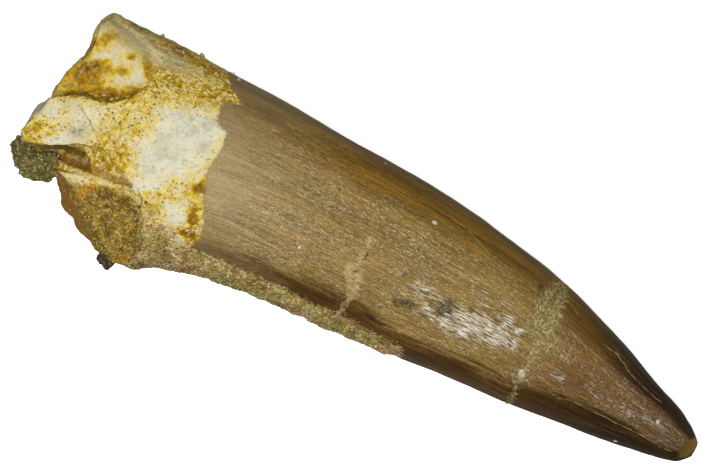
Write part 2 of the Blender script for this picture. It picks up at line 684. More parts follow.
def warped_plan(points, path):
    """Plan places, shifted a little by noise, so that edges wander and the underside differs."""
    under = 1.0 - eased(path[:, 2] / PATH_RADIUS, -0.35, 0.05)
    shift_x = noise_over(points, 1.6, 3.7)
    shift_y = noise_over(points, 1.6, 9.1)
    reach = 0.05 + 1.1 * under
    return np.column_stack((points[:, 0] + shift_x * reach, points[:, 1] + shift_y * reach))


def tooth_relief(points, path, root, scoop, sandy, recess, filling, cracks, hairs, worn, ledge):
    """The tooth's fine relief out of its surface and the steps into it, in millimetres, area by area."""
    crown = 1.0 - root
    ridges = noise_over(path, (7.0, 0.7, 0.7), 2.2)
    streaks = noise_over(path, (2.2, 0.3, 0.3), 5.5)
    dents = noise_over(points, 2.4, 8.4)
    _, chip_number = cells_over(path, (0.9, 0.35, 0.35), 4.1)
    enamel = 0.022 * ridges + 0.014 * streaks + 0.04 * dents
    enamel -= worn * 0.045 * eased(chip_number, 0.45, 0.55)
    lumps = noise_over(points, 1.1, 1.3)
    crumbs = noise_over(points, 0.34, 6.2)
    pits, _ = cells_over(points, 0.55, 7.7)
    dentine = 0.07 * lumps + 0.05 * crumbs - 0.07 * eased(pits, 0.72, 0.95)
    calm = 1.0 - 0.45 * scoop
    grains, _ = cells_over(points, 0.38, 2.9)
    sand = 0.1 * eased(grains, 0.0, 0.6) - 0.08 + 0.06 * crumbs + 0.1 * noise_over(points, 0.8, 3.9)
    fine = crown * enamel + root * (1.0 - sandy) * calm * dentine + root * sandy * sand
    fine += filling * (0.06 * crumbs - 0.03)
    fine -= cracks * 0.12
    fine -= hairs * 0.015
    fine += 0.07 * ledge
    steps = root * (0.05 * (1.0 - sandy) + 0.14 * scoop + 0.3 * recess)
    return fine, steps


def make_tooth_skin():
    """The tooth's visible surface: an even fine mesh with its relief and the marks for its material."""
    skin = copy_of_node("tooth", "tooth_skin")
    remeshed(skin, TOOTH_VOXEL)
    points = points_of(skin)
    near_end = eased(points[:, 0], *WORN_END)
    crown_share = eased(points[:, 0], *CROWN_START) * (1.0 - 0.75 * near_end)
    group = skin.vertex_groups.new(name="sound enamel")
    for index, share in enumerate(ROOT_SMOOTHING + (1.0 - ROOT_SMOOTHING) * crown_share):
        group.add([index], share, "REPLACE")
    applied(skin, "SMOOTH", factor=0.5, iterations=SMOOTHING_PASSES, vertex_group=group.name)
    skin.vertex_groups.clear()

    points = points_of(skin)
    for x, y, reach, shift_x, shift_y in NUDGES:
        points[:, :2] += spot_share(points, x, y, reach, reach, 0)[:, None] * (shift_x, shift_y)
    set_points(skin, points)
    path = growth_path(points)
    plan = warped_plan(points, path)
    above = eased(path[:, 2] / PATH_RADIUS, -0.25, 0.05)
    sides = {name: depth_inside(plan, outline) for name, outline in AREAS.items()}
    filling_side = np.maximum(*(depth_inside(plan, outline) for outline in FILLINGS))
    wobble = np.column_stack((noise_over(points, 0.5, 1.1), noise_over(points, 0.5, 6.6)))
    hair_gap, hair_side = lines_gap(plan + 0.09 * wobble, HAIRLINES)
    crack_gap, crack_side = lines_gap(plan + 0.06 * wobble, OPEN_CRACKS)
    in_root = eased(sides["root_side"], -0.08, 0.12)
    dust_gap, _ = line_gap(plan, CRUST_EDGE)
    ledge_gap, _ = line_gap(plan, LEDGE)
    ledge = beside(ledge_gap, LEDGE_WIDTH) * above
    spots = {name: spots_over(plan, table) * above for name, table in SPOTS.items()}
    rich = spots_over(plan, ROOT_STAINS, UNSTAINED, STAIN_SPREAD)

    relief, steps = tooth_relief(
        points,
        path,
        root=in_root,
        scoop=eased(sides["scoop_side"], -0.02, 0.2) * above,
        sandy=eased(sides["sandy_side"], 0.0, 0.25) * above,
        recess=eased(sides["recess_side"], -0.02, 0.22) * above,
        filling=eased(filling_side, -0.05, 0.12),
        cracks=beside(crack_gap, CRACK_WIDTH) * above * in_root,
        hairs=beside(hair_gap, HAIRLINE_WIDTH) * above * (1.0 - in_root),
        worn=spots["worn"],
        ledge=ledge,
    )
    points += normals_of(skin) * (relief - steps)[:, None]
    points[:, 2] = np.maximum(points[:, 2], 0.0)
    set_points(skin, points)

    for name in ("sandy_side", "scoop_side", "recess_side"):
        sides[name] = np.where(above > 0.3, sides[name], OUTSIDE)
    sides["band_side"] = np.where(path[:, 2] > BAND_LOW * PATH_RADIUS, sides["band_side"], OUTSIDE)
    on_root = sides["root_side"] > 0.0
    set_marks(
        skin,
        **sides,
        **spots,
        growth_path=path,
        filling_side=filling_side,
        line_far=np.where(on_root, crack_gap, hair_gap) + 2.0 * (1.0 - above),
        line_side=np.where(on_root, crack_gap * crack_side, hair_gap * hair_side),
        rich=rich * above + 0.5 * (1.0 - above),
        ledge=ledge,
        dust=np.maximum(beside(dust_gap, DUST_WIDTH), spots_over(plan, DUST_SPOTS) * above),
        facet=spots_over(points[:, :2], [TIP_FACET]),
        relief=relief,
    )
    finish_piece(skin, tooth_material(), "tooth", "tooth")


def finish_piece(piece, material, slot, *nodes):
    """Gives a piece its material, says what it stands for and lets it ride on the model."""
    piece.data.materials.clear()
    piece.data.materials.append(material)
    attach(piece, "root")
    if nodes:
        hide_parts(*nodes)


def make_rock_skin(node, name, material, slot, voxel, swell, lumps, fine, reach=None, stretch=0.0):
    """A piece of rock with a granular surface, swollen and drawn out to close the gap to the tooth."""
    skin = copy_of_node(node, name)
    applied(skin, "DISPLACE", strength=swell * MM, mid_level=0.0)
    remeshed(skin, voxel)
    points = points_of(skin)
    points += ((points - points.mean(axis=0)) @ STRETCH_AXIS)[:, None] * STRETCH_AXIS * stretch
    grains, _ = cells_over(points, 0.3, 3.3)
    relief = lumps * noise_over(points, 0.9, 2.7) + fine * (eased(grains, 0.0, 0.6) - 0.5)
    points += normals_of(skin) * relief[:, None]
    if reach:
        ahead = (points - points.mean(axis=0)) @ np.array(reach)
        points += np.array(reach) * eased(ahead, 0.0, ahead.max())[:, None]
    points[:, 2] = np.maximum(points[:, 2], 0.0)
    set_points(skin, points)
    set_marks(skin, relief=relief)
    finish_piece(skin, material, slot, node)
    return skin


def feathered(skin, width):
    """Thins a strip of rock towards its high edge and its ends, down to the tooth's surface."""
    tooth = bpy.data.objects["tooth_skin"]
    points = points_of(skin)
    stations = np.arange(points[:, 0].min(), points[:, 0].max(), 0.5)
    highs = [points[np.abs(points[:, 0] - x) < 0.4, 1].max() for x in stations]
    depth = np.interp(points[:, 0], stations, highs) - points[:, 1]
    ends = np.minimum(points[:, 0] - points[:, 0].min(), points[:, 0].max() - points[:, 0])
    share = eased(np.minimum(depth, 0.8 * ends), 0.0, width)
    for index in np.flatnonzero(share < 1.0):
        spot = Vector(points[index]) * MM
        _, foot, normal, _ = tooth.closest_point_on_mesh(spot)
        height = (spot - foot).dot(normal)
        if height > 0.0:
            points[index] += np.array(normal) * (share[index] - 1.0) * (height / MM + 0.05)
    set_points(skin, points)


def drawn_in(skin, amount):
    """Moves a piece of rock in towards the tooth's middle line."""
    points = points_of(skin)
    middle_y, middle_z, _, _ = sections_at(points)
    inward = np.zeros(points.shape)
    inward[:, 1] = middle_y - points[:, 1]
    inward[:, 2] = middle_z - points[:, 2]
    points += amount * inward / np.linalg.norm(inward, axis=1)[:, None]
    set_points(skin, points)


class Wiring:
    """Adds nodes to a node tree, laid out in columns, and links them."""

    COLUMN = 240
    ROW = 260
    ROWS = 8

    def __init__(self, tree):
        self.tree = tree
        self.count = 0

    def add(self, kind, sockets, **settings):
        """A new node with these settings, its sockets set or linked."""
        made = self.tree.nodes.new(kind)
        made.location = (self.COLUMN * (self.count // self.ROWS), -self.ROW * (self.count % self.ROWS))
        self.count += 1
        for setting, value in settings.items():
            setattr(made, setting, value)
        for socket, value in sockets.items():
            self.feed(made.inputs[socket], value)
        return made

    def feed(self, socket, value):
        """Links a socket to another one, or sets its value; a colour property becomes a solid colour."""
        if isinstance(value, bpy.types.NodeSocket):
            self.tree.links.new(value, socket)
        elif socket.type == "RGBA" and len(value) == 3:
            socket.default_value = solid(value)
        else:
            socket.default_value = value

    def maths(self, operation, *values):
        return self.add("ShaderNodeMath", dict(enumerate(values)), operation=operation).outputs[0]

    def times(self, product, *values):
        for value in values:
            product = self.maths("MULTIPLY", product, value)
        return product

    def plus(self, first, second):
        return self.maths("ADD", first, second)

    def minus(self, first, second):
        return self.maths("SUBTRACT", first, second)

    def vectors(self, operation, *values):
        return self.add("ShaderNodeVectorMath", dict(enumerate(values)), operation=operation).outputs[0]

    def colours(self, share, first, second, mode="MIX"):
        """The first colour where the share is 0, the second where it is 1."""
        sockets = {0: share, 6: first, 7: second}
        return self.add("ShaderNodeMix", sockets, data_type="RGBA", blend_type=mode).outputs[2]

    def over(self, colour, layer, *shares):
        """A colour under a layer of another one, which is as strong as the product of the shares."""
        return self.colours(self.times(*shares), colour, layer)

    def levels(self, share, first, second):
        """The first number where the share is 0, the second where it is 1."""
        return self.add("ShaderNodeMix", {0: share, 2: first, 3: second}).outputs[0]

    def rise(self, value, low, high):
        """0 up to low, 1 from high on, and a smooth rise between."""
        sockets = {"Value": value, "From Min": low, "From Max": high}
        return self.add("ShaderNodeMapRange", sockets, interpolation_type="SMOOTHSTEP").outputs[0]

    def ramp(self, value, stops):
        """A colour by its place on a row of stops."""
        made = self.add("ShaderNodeValToRGB", {0: value})
        elements = made.color_ramp.elements
        elements[0].position, elements[0].color = stops[0][0], solid(stops[0][1])
        elements[1].position, elements[1].color = stops[-1][0], solid(stops[-1][1])
        for position, colour in stops[1:-1]:
            elements.new(position).color = solid(colour)
        return made.outputs[0]

    def mark(self, name):
        """A number stored at the piece's points."""
        return self.add("ShaderNodeAttribute", {}, attribute_name=name).outputs["Fac"]

    def direction(self, name):
        """A direction stored at the piece's points."""
        return self.add("ShaderNodeAttribute", {}, attribute_name=name).outputs["Vector"]

    def cloud(self, place, size, detail=3.0, roughness=0.6):
        """Noise with features of a size in millimetres."""
        sockets = {"Vector": place, "Scale": 1.0 / size, "Detail": detail, "Roughness": roughness}
        return self.add("ShaderNodeTexNoise", sockets).outputs[0]

    def patches(self, place, size, low, high, detail=3.0, roughness=0.6):
        """Noise sharpened to patches: 0 up to low, 1 from high on."""
        return self.rise(self.cloud(place, size, detail, roughness), low, high)

    def part(self, place, axis):
        """One of a place's three numbers."""
        return self.add("ShaderNodeSeparateXYZ", {0: place}).outputs[axis]

    def group(self, tree, sockets):
        return self.add("ShaderNodeGroup", sockets, node_tree=tree).outputs


def new_group(name, inputs, outputs):
    """An empty node group, its wiring and its inner ends. None is the default of a place."""
    tree = bpy.data.node_groups.new(name, "ShaderNodeTree")
    for label, default in inputs.items():
        kind = "NodeSocketVector" if default is None else "NodeSocketFloat"
        socket = tree.interface.new_socket(label, in_out="INPUT", socket_type=kind)
        if default is not None:
            socket.default_value = default
    for label in outputs:
        tree.interface.new_socket(label, in_out="OUTPUT", socket_type="NodeSocketFloat")
    wiring = Wiring(tree)
    return tree, wiring, wiring.add("NodeGroupInput", {}).outputs, wiring.add("NodeGroupOutput", {}).inputs


def ragged_zone_group():
    """A zone's mask from the depth inside it, with an edge that noise makes ragged."""
    inputs = {"Depth": 0.0, "Place": None, "Feature size": 0.3, "Raggedness": 0.2, "Softness": 0.05}
    tree, wiring, given, result = new_group("ragged_zone", inputs, ["Mask"])
    scale = wiring.maths("DIVIDE", 1.0, given["Feature size"])
    sockets = {"Vector": given["Place"], "Scale": scale, "Detail": 3.0, "Roughness": 0.65}
    cloud = wiring.add("ShaderNodeTexNoise", sockets).outputs[0]
    shift = wiring.times(wiring.minus(cloud, 0.5), given["Raggedness"])
    low = wiring.times(given["Softness"], -1.0)
    wiring.feed(result["Mask"], wiring.rise(wiring.plus(given["Depth"], shift), low, given["Softness"]))
    return tree


def flecks_group():
    """The mask of separate round flecks."""
    inputs = {"Place": None, "Spacing": 0.3, "Share": 0.2, "Reach": 0.45}
    tree, wiring, given, result = new_group("flecks", inputs, ["Mask"])
    scale = wiring.maths("DIVIDE", 1.0, given["Spacing"])
    cells = wiring.add("ShaderNodeTexVoronoi", {"Vector": given["Place"], "Scale": scale}).outputs
    number = wiring.add("ShaderNodeSeparateColor", {0: cells["Color"]}).outputs[0]
    kept = wiring.maths("LESS_THAN", number, given["Share"])
    body = wiring.rise(cells["Distance"], given["Reach"], wiring.times(given["Reach"], 0.5))
    wiring.feed(result["Mask"], wiring.times(kept, body))
    return tree


def streaks_group():
    """Fine streaks that follow the growth path."""
    inputs = {"Path": None, "Along": 2.0, "Across": 0.15}
    tree, wiring, given, result = new_group("streaks", inputs, ["Level"])
    along = wiring.maths("DIVIDE", 1.0, given["Along"])
    across = wiring.maths("DIVIDE", 1.0, given["Across"])
    stretch = wiring.add("ShaderNodeCombineXYZ", {0: along, 1: across, 2: across}).outputs[0]
    place = wiring.vectors("MULTIPLY", given["Path"], stretch)
    sockets = {"Vector": place, "Scale": 1.0, "Detail": 3.0, "Roughness": 0.6, "Distortion": 0.4}
    wiring.feed(result["Level"], wiring.add("ShaderNodeTexNoise", sockets).outputs[0])
    return tree


def sand_group():
    """Packed sand grains: each grain's own number, and the height of its rounded top."""
    inputs = {"Place": None, "Grain": 0.16}
    tree, wiring, given, result = new_group("packed_sand", inputs, ["Number", "Height"])
    scale = wiring.maths("DIVIDE", 1.0, given["Grain"])
    cloud = wiring.add("ShaderNodeTexNoise", {"Vector": given["Place"], "Scale": scale, "Detail": 2.0})
    jitter = wiring.vectors("MULTIPLY", cloud.outputs["Color"], (0.09, 0.09, 0.09))
    place = wiring.vectors("ADD", given["Place"], jitter)
    cells = wiring.add("ShaderNodeTexVoronoi", {"Vector": place, "Scale": scale}).outputs
    wiring.feed(result["Number"], wiring.add("ShaderNodeSeparateColor", {0: cells["Color"]}).outputs[0])
    wiring.feed(result["Height"], wiring.rise(cells["Distance"], 0.75, 0.1))
    return tree


GROUPS = {
    "ragged_zone": ragged_zone_group,
    "flecks": flecks_group,
    "streaks": streaks_group,
    "packed_sand": sand_group,
}


def effect(name):
    """A shared node group, built the first time that it is asked for."""
    return bpy.data.node_groups.get(name) or GROUPS[name]()


def zone(wiring, place, name, size, raggedness, softness, least=0.0):
    """The mask, with a ragged edge, of the zone where a mark is above its least value."""
    sockets = {
        "Depth": wiring.minus(wiring.mark(name), least),
        "Place": place,
        "Feature size": size,
        "Raggedness": raggedness,
        "Softness": softness,
    }
    return wiring.group(effect("ragged_zone"), sockets)["Mask"]


def flecks(wiring, place, shift, spacing, share, reach):
    """The mask of scattered flecks, with a shift that gives each layer of them its own places."""
    shifted = wiring.vectors("ADD", place, shift)
    sockets = {"Place": shifted, "Spacing": spacing, "Share": share, "Reach": reach}
    return wiring.group(effect("flecks"), sockets)["Mask"]


def streaks(wiring, path, along, across):
    """Fine streaks along the growth path."""
    return wiring.group(effect("streaks"), {"Path": path, "Along": along, "Across": across})["Level"]


def new_material(name):
    """A material with its wiring and shader, and the place on the piece in millimetres."""
    material = bpy.data.materials.new(name)
    material.use_nodes = True
    tree = material.node_tree
    tree.nodes.clear()
    wiring = Wiring(tree)
    output = wiring.add("ShaderNodeOutputMaterial", {})
    shader = wiring.add("ShaderNodeBsdfPrincipled", {})
    wiring.feed(output.inputs["Surface"], shader.outputs["BSDF"])
    coordinates = wiring.add("ShaderNodeTexCoord", {}).outputs["Object"]
    scaled = wiring.add("ShaderNodeVectorMath", {0: coordinates, "Scale": 1.0 / MM}, operation="SCALE")
    return material, wiring, shader, scaled.outputs[0]


def finish_shader(wiring, shader, colour, roughness, height):
    """Feeds the shader with a surface's colour, roughness and relief in millimetres."""
    wiring.feed(shader.inputs["Base Color"], colour)
    wiring.feed(shader.inputs["Roughness"], roughness)
    bump = wiring.add("ShaderNodeBump", {"Height": height, "Distance": MM})
    wiring.feed(shader.inputs["Normal"], bump.outputs["Normal"])


def shaded(wiring, colour, shade):
    """A colour made darker or lighter by a number."""
    shades = wiring.add("ShaderNodeCombineXYZ", {0: shade, 1: shade, 2: shade}).outputs[0]
    return wiring.colours(1.0, colour, shades, "MULTIPLY")


def toned(wiring, colour, share, dark, light):
    """A colour shaded from dark, where the share is 0, to light, where it is 1."""
    return shaded(wiring, colour, wiring.levels(share, dark, light))


def bent_place(wiring, place, size, amount):
    """Places moved a little by noise, so that round flecks become ragged."""
    sockets = {"Vector": place, "Scale": 1.0 / size, "Detail": 2.0}
    cloud = wiring.add("ShaderNodeTexNoise", sockets).outputs["Color"]
    return wiring.vectors("ADD", place, wiring.vectors("MULTIPLY", cloud, (amount, amount, amount)))


def crown_bands(wiring, path, broad, look):
    """The crown's colour with a darker band along each edge, and the share of what lies between them."""
    along = wiring.part(path, "X")
    sockets = {"Value": along, "From Min": CROWN_FROM, "From Max": CROWN_TO}
    from_root = wiring.add("ShaderNodeMapRange", sockets).outputs[0]
    stops = (0.03, 0.27, 0.6, 0.74, 0.95)
    tones = (look.root_end, look.middle, look.middle, look.far, look.tip)
    colour = wiring.ramp(from_root, list(zip(stops, tones)))
    near_tip = wiring.rise(along, 10.0, 20.0)
    wander = wiring.times(wiring.minus(broad, 0.5), 0.5)
    wavering = wiring.plus(wiring.maths("DIVIDE", wiring.part(path, "Y"), PATH_RADIUS), wander)
    strength = wiring.levels(wiring.rise(along, -12.0, -1.0), 0.4, 1.0)
    # Each band's colour, its edge near the root and near the tip, and where it starts and is full there.
    bands = [(look.upper_band, 0.62, 0.44, -0.16, 0.14), (look.lower_band, -0.66, -0.36, 0.1, -0.12)]
    shares = []
    for band, at_root, at_tip, start, full in bands:
        edge = wiring.levels(near_tip, at_root, at_tip)
        share = wiring.rise(wavering, wiring.plus(edge, start), wiring.plus(edge, full))
        shares.append(wiring.times(share, strength))
        colour = wiring.over(colour, wiring.colours(near_tip, band, look.tip_band), shares[-1])
    return colour, wiring.minus(1.0, wiring.maths("MAXIMUM", *shares))


def crown_surface(wiring, place, path, look):
    """The enamel's colour, roughness and fine relief."""
    broad = streaks(wiring, path, along=6.0, across=0.8)
    fine = streaks(wiring, path, along=2.4, across=0.1)
    hatch = streaks(wiring, path, along=0.32, across=0.05)
    flakes = streaks(wiring, path, along=0.7, across=0.065)
    scratches = streaks(wiring, path, along=4.5, across=0.065)
    colour, inner = crown_bands(wiring, path, broad, look)
    along = wiring.part(path, "X")
    # Streaks, broad bands and fine hatching, weaker on the smooth part beside the root.
    rough_part = wiring.levels(wiring.rise(along, -11.5, -5.0), 0.3, 1.0)
    streaking = wiring.times(wiring.rise(fine, 0.34, 0.66), wiring.levels(rough_part, 0.18, 0.56))
    colour = shaded(wiring, colour, wiring.plus(streaking, wiring.levels(rough_part, 0.92, 0.73)))
    darker, lighter = wiring.levels(inner, 0.66, 0.84), wiring.levels(inner, 1.34, 1.16)
    colour = toned(wiring, colour, wiring.rise(broad, 0.3, 0.7), darker, lighter)
    sparkle = wiring.levels(0.5, hatch, wiring.cloud(place, 0.09, detail=3.0, roughness=0.8))
    hatching = wiring.times(wiring.minus(wiring.rise(sparkle, 0.4, 0.6), 0.5), wiring.times(rough_part, 0.7))
    colour = shaded(wiring, colour, wiring.plus(hatching, 1.0))
    grain = wiring.patches(place, 0.1, 0.3, 0.7, detail=2.0, roughness=0.7)
    colour = toned(wiring, colour, grain, 0.84, 1.16)

    # Pale scratches, then dark ones.
    lines = wiring.times(wiring.rise(scratches, 0.58, 0.68), wiring.levels(inner, 0.3, 0.42))
    colour = wiring.over(colour, look.hairline, lines, rough_part)
    lines = wiring.times(wiring.rise(scratches, 0.42, 0.32), wiring.levels(inner, 0.65, 0.4))
    colour = wiring.over(colour, look.tip_band, lines, rough_part)

    # Glints, worn flaking enamel, pale spots and the facet at the tip.
    worn = wiring.mark("worn")
    glint = wiring.times(wiring.rise(sparkle, 0.53, 0.6), rough_part, inner)
    glint = wiring.times(glint, wiring.levels(wiring.patches(place, 1.4, 0.4, 0.58), 0.12, 0.5))
    colour = wiring.over(colour, look.flake, glint)
    threshold = wiring.levels(worn, 0.76, 0.42)
    flaked = wiring.rise(flakes, threshold, wiring.plus(threshold, 0.05))
    uneven = wiring.levels(wiring.patches(place, 0.5, 0.36, 0.56, roughness=0.7), 0.34, 0.95)
    gaps = wiring.times(wiring.rise(flakes, 0.46, 0.38), wiring.rise(worn, 0.25, 0.8))
    colour = wiring.over(colour, look.stain, gaps, 0.65)
    colour = wiring.over(colour, look.flake, flaked, uneven)
    pale = zone(wiring, place, "pale", size=0.14, raggedness=0.8, softness=0.15, least=0.45)
    colour = wiring.over(colour, look.flake, pale, 0.7)
    facet = zone(wiring, place, "facet", size=0.4, raggedness=0.5, softness=0.2, least=0.35)
    facet_colour = toned(wiring, look.facet, wiring.rise(along, 22.9, 24.0), 0.55, 1.5)
    colour = wiring.over(colour, toned(wiring, facet_colour, fine, 0.7, 1.3), facet)

    roughness = wiring.levels(flakes, look.roughness - 0.1, look.roughness + 0.2)
    height = wiring.times(hatch, rough_part, 0.035)
    height = wiring.plus(height, wiring.times(fine, 0.02))
    height = wiring.plus(height, wiring.times(worn, flakes, 0.07))
    return colour, roughness, height


def root_stains(wiring, place, path, coarse, wisps, granular, look):
    """The root's colour, from white over yellow to brown, with smooth grey patches."""
    rich, grey = wiring.mark("rich"), wiring.mark("grey")
    level = wiring.plus(rich, wiring.times(wiring.minus(coarse, 0.5), 0.95))
    level = wiring.plus(level, wiring.times(wisps, wiring.levels(granular, 0.95, 0.75)))
    stops = (0.08, 0.3, 0.52, 0.68, 0.84, 1.0)
    stains = (look.white, look.cream, look.yellow, look.ochre, look.orange, look.brown)
    colour = wiring.ramp(level, list(zip(stops, stains)))
    grey = wiring.times(grey, wiring.levels(wiring.rise(coarse, 0.3, 0.6), 0.55, 1.0))
    smooth_streaks = wiring.rise(streaks(wiring, path, along=1.6, across=0.14), 0.45, 0.8)
    grey_colour = wiring.colours(smooth_streaks, look.grey, look.cream)
    grey_colour = toned(wiring, grey_colour, wiring.rise(wisps, -0.16, 0.16), 0.84, 1.26)
    colour = wiring.over(colour, grey_colour, grey, 0.8)
    blotch = wiring.times(wiring.patches(place, 0.9, 0.45, 0.65, detail=5.0, roughness=0.7), 0.5)
    blotch = wiring.times(blotch, wiring.minus(1.0, granular))
    return wiring.over(colour, look.grey, blotch, wiring.rise(rich, 0.5, 0.25))


def root_crumbs(wiring, colour, place, path, scooped, granular, look):
    """The colour of the root's granular parts, with their crumbs and dark specks."""
    rich = wiring.mark("rich")
    bent = bent_place(wiring, place, 0.16, 0.2)
    stronger = wiring.colours(wiring.rise(rich, 0.3, 0.62), look.yellow, look.orange)
    # Each layer's shift, spacing, share of the places taken, reach, strength and colour.
    layers = [
        ((0.0, 0.0, 0.0), 0.3, 0.42, 0.62, 0.8, stronger),
        ((3.1, 7.7, 1.3), 0.26, 0.55, 0.62, 0.7, look.cream),
        ((6.6, 1.9, 8.3), 0.36, 0.3, 0.6, 0.7, look.lemon),
    ]
    for shift, spacing, share, reach, strength, layer in layers:
        crumbs = flecks(wiring, bent, shift, spacing, share, reach)
        colour = wiring.over(colour, layer, crumbs, granular, strength)
    stretched = wiring.vectors("MULTIPLY", path, (0.6, 1.0, 1.0))
    specks = wiring.patches(stretched, 0.18, 0.57, 0.65, roughness=0.75)
    dots = flecks(wiring, bent, (9.2, 2.4, 5.5), spacing=0.3, share=0.28, reach=0.34)
    specks = wiring.maths("MAXIMUM", specks, dots)
    where = wiring.levels(wiring.rise(rich, 0.08, 0.4), 0.3, 0.8)
    return wiring.over(colour, look.speck, specks, where, wiring.levels(scooped, 1.0, 0.3))


def root_surface(wiring, place, path, look):
    """The root's colour, roughness and fine relief, with its stains, crumbs, pits and hollows."""
    coarse = wiring.cloud(place, 0.7, detail=4.0, roughness=0.7)
    fine = wiring.cloud(place, 0.13, detail=3.0, roughness=0.7)
    wisps = wiring.minus(wiring.cloud(place, 0.3, detail=4.0, roughness=0.75), 0.5)
    grain_height = wiring.group(effect("packed_sand"), {"Place": place, "Grain": 0.17})["Height"]
    scooped = wiring.rise(wiring.mark("scoop_side"), 0.0, 0.4)
    granular = wiring.times(
        wiring.rise(wiring.mark("rich"), 0.16, 0.42),
        wiring.levels(scooped, 1.0, 0.25),
        wiring.levels(wiring.mark("grey"), 1.0, 0.1),
    )
    colour = root_stains(wiring, place, path, coarse, wisps, granular, look)
    gaps = wiring.times(wiring.rise(grain_height, 0.45, 0.0), wiring.levels(granular, 0.05, 0.25))
    colour = wiring.over(colour, look.speck, gaps)
    colour = root_crumbs(wiring, colour, place, path, scooped, granular, look)

    ledge = zone(wiring, place, "ledge", size=0.4, raggedness=0.6, softness=0.2, least=0.45)
    colour = wiring.over(colour, toned(wiring, look.side, coarse, 0.7, 1.5), ledge, 0.75)
    pit = wiring.mark("pit")
    pits = wiring.rise(wiring.plus(pit, wiring.times(wisps, 0.9)), 0.4, 0.62)
    colour = wiring.over(colour, look.crack, pits, wiring.rise(pit, 0.05, 0.25), 0.9)
    colour = toned(wiring, colour, scooped, 1.0, 0.92)
    in_hollow = wiring.rise(wiring.mark("relief"), -0.05, -0.16)
    colour = wiring.over(colour, look.speck, in_hollow, 0.5)

    height = wiring.plus(wiring.times(fine, 0.06), wiring.times(coarse, 0.06))
    height = wiring.plus(height, wiring.times(grain_height, granular, 0.05))
    return colour, wiring.levels(fine, 0.55, 0.85), height


def sandy_surface(wiring, place, grain, light, dark, warm):
    """Packed sand: colour and fine relief."""
    sand = wiring.group(effect("packed_sand"), {"Place": place, "Grain": grain})
    level = wiring.levels(0.55, sand["Number"], wiring.patches(place, 0.9, 0.28, 0.72))
    colour = wiring.ramp(level, [(0.15, dark), (0.45, warm), (0.8, light)])
    gaps = wiring.rise(sand["Height"], 0.5, 0.0)
    colour = wiring.over(colour, dark, gaps, 0.55)
    return colour, wiring.times(sand["Height"], 0.05)


def tinted(wiring, place, colour):
    """The rock's colour, leaning to olive in some patches and to pink in others."""
    share = wiring.patches(place, 2.4, 0.42, 0.58, detail=2.0)
    tint = wiring.colours(share, (0.9, 0.98, 0.76, 1.0), (1.06, 0.98, 0.96, 1.0))
    return wiring.colours(1.0, colour, tint, "MULTIPLY")


def broken_root(wiring, place, path, look):
    """The root's colour, roughness and relief, with its sandy plate, its recess and its broken side."""
    colour, roughness, height = root_surface(wiring, place, path, look)
    sand = sandy_surface(wiring, place, 0.15, look.sand_light, look.sand_dark, look.sand_warm)
    mottle = wiring.patches(place, 0.4, 0.38, 0.62, detail=4.0, roughness=0.75)
    sandy = wiring.times(zone(wiring, place, "sandy_side", size=0.5, raggedness=0.6, softness=0.15), 0.9)
    colour = wiring.over(colour, toned(wiring, sand[0], mottle, 0.45, 1.5), sandy)
    height = wiring.levels(sandy, height, sand[1])
    recess = zone(wiring, place, "recess_side", size=0.5, raggedness=0.4, softness=0.1)
    stain = wiring.levels(wiring.patches(place, 0.4, 0.35, 0.65, detail=4.0, roughness=0.7), 0.95, 0.45)
    colour = wiring.over(colour, look.brown, recess, stain)
    band = zone(wiring, place, "band_side", size=0.4, raggedness=0.25, softness=0.08)
    shading = wiring.cloud(place, 0.5, detail=4.0, roughness=0.7)
    side_colour = toned(wiring, look.side, shading, 0.5, 1.5)
    return wiring.over(colour, side_colour, band, 0.92), roughness, height


def with_rust_and_dust(wiring, place, colour, root, rock):
    """The tooth's colour under its rusty patches and the rock dust that clings to it."""
    rust = wiring.mark("rust")
    wisps = wiring.minus(wiring.cloud(place, 0.3, detail=4.0, roughness=0.7), 0.5)
    rusty = wiring.times(wiring.rise(wiring.plus(rust, wisps), 0.42, 0.62), wiring.levels(rust, 0.35, 0.8))
    rust_colour = wiring.colours(wiring.patches(place, 0.22, 0.4, 0.6), root.rust, root.orange)
    colour = wiring.over(colour, rust_colour, rusty)
    dust, _ = sandy_surface(wiring, place, 0.12, rock.crust_light, rock.crust_base, rock.crust_warm)
    dusty = zone(wiring, place, "dust", size=0.3, raggedness=1.5, softness=0.15, least=0.6)
    return wiring.over(colour, tinted(wiring, place, dust), dusty, 0.85)


def with_fillings(wiring, place, path, colour, roughness, height, root, crown):
    """The same surface with the beige and olive fillings, and the black-grey stains."""
    nearer_tip = wiring.rise(wiring.part(path, "X"), 3.0, 8.0)
    raggedness = wiring.levels(nearer_tip, 1.1, 1.8)
    filling = zone(wiring, place, "filling_side", size=0.25, raggedness=raggedness, softness=0.18)
    crumbs = wiring.cloud(place, 0.15, detail=4.0, roughness=0.8)
    olive = wiring.ramp(crumbs, [(0.38, root.speck), (0.48, root.filling_dark), (0.6, root.filling_pale)])
    beige = toned(wiring, root.filling_light, wiring.rise(crumbs, 0.34, 0.62), 0.62, 1.3)
    cover = wiring.times(filling, wiring.levels(wiring.rise(crumbs, 0.4, 0.52), 0.45, 1.0))
    thick = wiring.patches(place, 0.8, 0.36, 0.52, detail=4.0, roughness=0.7)
    cover = wiring.times(cover, wiring.levels(thick, 0.25, 0.9))
    colour = wiring.over(colour, wiring.colours(nearer_tip, beige, olive), cover)
    stained = zone(wiring, place, "stain", size=0.1, raggedness=2.0, softness=0.2, least=0.42)
    crumbled = wiring.levels(wiring.rise(crumbs, 0.42, 0.58), 0.95, 0.35)
    colour = wiring.over(colour, crown.stain, stained, crumbled)
    roughness = wiring.levels(filling, roughness, 0.75)
    return colour, roughness, wiring.levels(filling, height, wiring.times(crumbs, 0.1))


